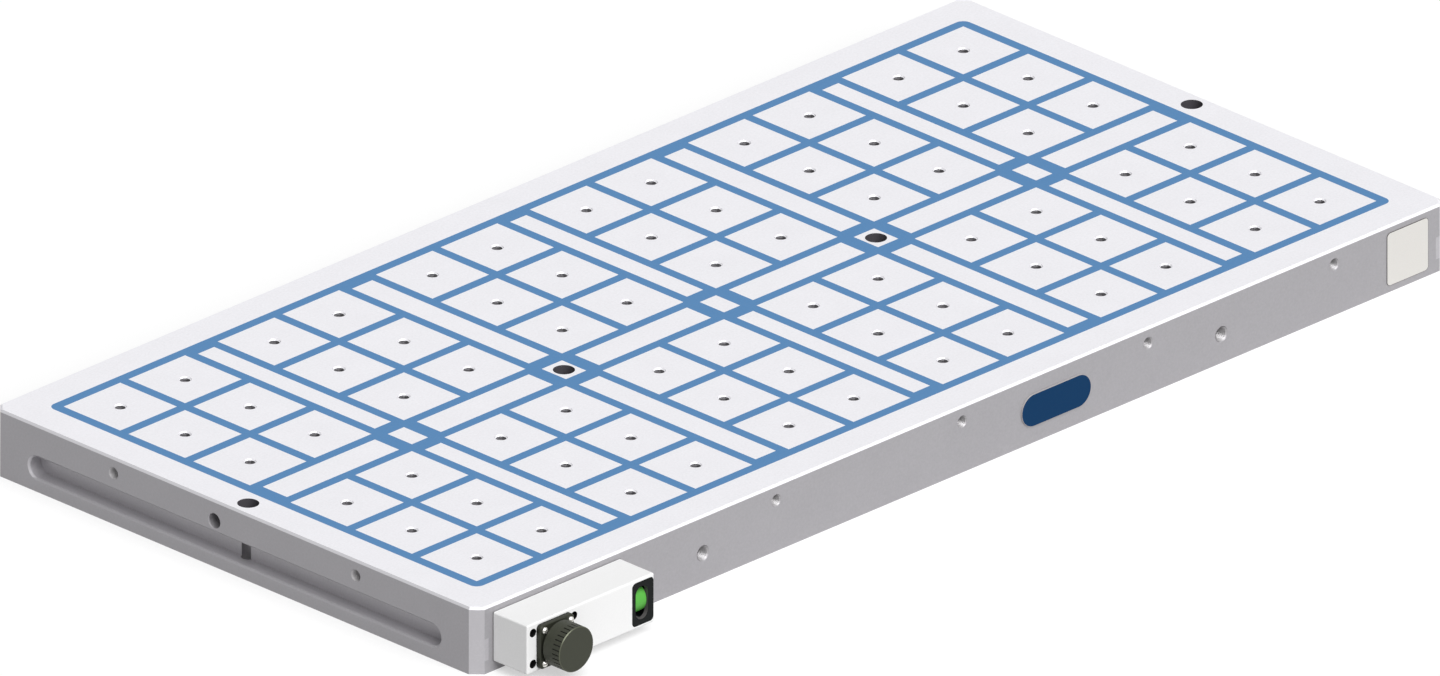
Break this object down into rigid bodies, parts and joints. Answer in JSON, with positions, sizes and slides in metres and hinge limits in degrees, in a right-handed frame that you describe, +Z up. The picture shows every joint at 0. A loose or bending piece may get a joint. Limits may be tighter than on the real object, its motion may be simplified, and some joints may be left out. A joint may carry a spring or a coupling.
{
  "type": "magnetic chuck",
  "caption": "Flat electro-permanent magnetic chuck with square poles set in blue resin, a connector box with a capped power socket, and a drum that shows its state.",
  "frame": {"origin": "centre of the body's ground underside", "axes": "+X along the long side, away from the end beside the connector box; the box is on the -Y side; +Z up, out of the working face"},
  "size_m": [0.8616, 0.4808, 0.046],
  "materials": {
    "base_body": "ground steel",
    "pole_shoes": "fine ground steel",
    "magnet_cores": "cast magnet alloy",
    "coils": "enamelled winding wire",
    "side_magnets": "plated magnet slabs",
    "resin_fill": "blue casting resin, ground flush",
    "cross_bars": "fine ground steel",
    "centre_bars": "fine ground steel",
    "centre_blocks": "fine ground steel",
    "fixing_blocks": "fine ground steel",
    "connector_box": "white paint",
    "box_gasket": "black sheet",
    "box_screws": "black oxide",
    "receptacle": "olive-black finish",
    "receptacle_insert": "black insulator",
    "contact_pins": "plated contacts",
    "flange_gasket": "black sheet",
    "flange_screws": "plated steel",
    "dust_cap": "olive-black finish",
    "cap_seal": "black ring",
    "indicator_housing": "black",
    "indicator_drum": "green half and red half",
    "drum_magnet": "plated magnet",
    "drum_axle": "bright pin",
    "lead_bundle": "sheathed leads",
    "lead_bush": "black bush",
    "badge_plate": "blank, dark blue",
    "label_plate": "blank, pale grey"
  },
  "bodies": {
    "chuck": {"base_body": "base_body", "pole_shoes": "pole_shoes", "magnet_cores": "magnet_cores", "coils": "coils", "side_magnets": "side_magnets", "resin_fill": "resin_fill", "cross_bars": "cross_bars", "centre_bars": "centre_bars", "centre_blocks": "centre_blocks", "fixing_blocks": "fixing_blocks", "connector_box": "connector_box", "box_gasket": "box_gasket", "box_screws": "box_screws", "receptacle": "receptacle", "receptacle_insert": "receptacle_insert", "contact_pins": "contact_pins", "flange_gasket": "flange_gasket", "flange_screws": "flange_screws", "indicator_housing": "indicator_housing", "drum_axle": "drum_axle", "lead_bundle": "lead_bundle", "lead_bush": "lead_bush", "badge_plate": "badge_plate", "label_plate": "label_plate"},
    "seal_carrier": {"cap_seal": "cap_seal"},
    "cap": {"dust_cap": "dust_cap"},
    "drum": {"indicator_drum": "indicator_drum", "drum_magnet": "drum_magnet"}
  },
  "joints": [
    {"name": "cap_travel", "type": "slide", "parent": "chuck", "child": "seal_carrier", "axis": [0, -1, 0], "range_m": [0, 0.01016]},
    {"name": "cap_turn", "type": "hinge", "parent": "seal_carrier", "child": "cap", "pos_m": [-0.39315, -0.2659, 0.0239], "axis": [0, -1, 0], "range_deg": [0, 2880]},
    {"name": "drum_turn", "type": "hinge", "parent": "chuck", "child": "drum", "pos_m": [-0.3147, -0.2344, 0.0239], "axis": [1, 0, 0], "range_deg": [0, 180]}
  ],
  "couplings": [
    {"joint": "cap_turn", "follows": "cap_travel", "rad_per_m": 4947.4}
  ]
}
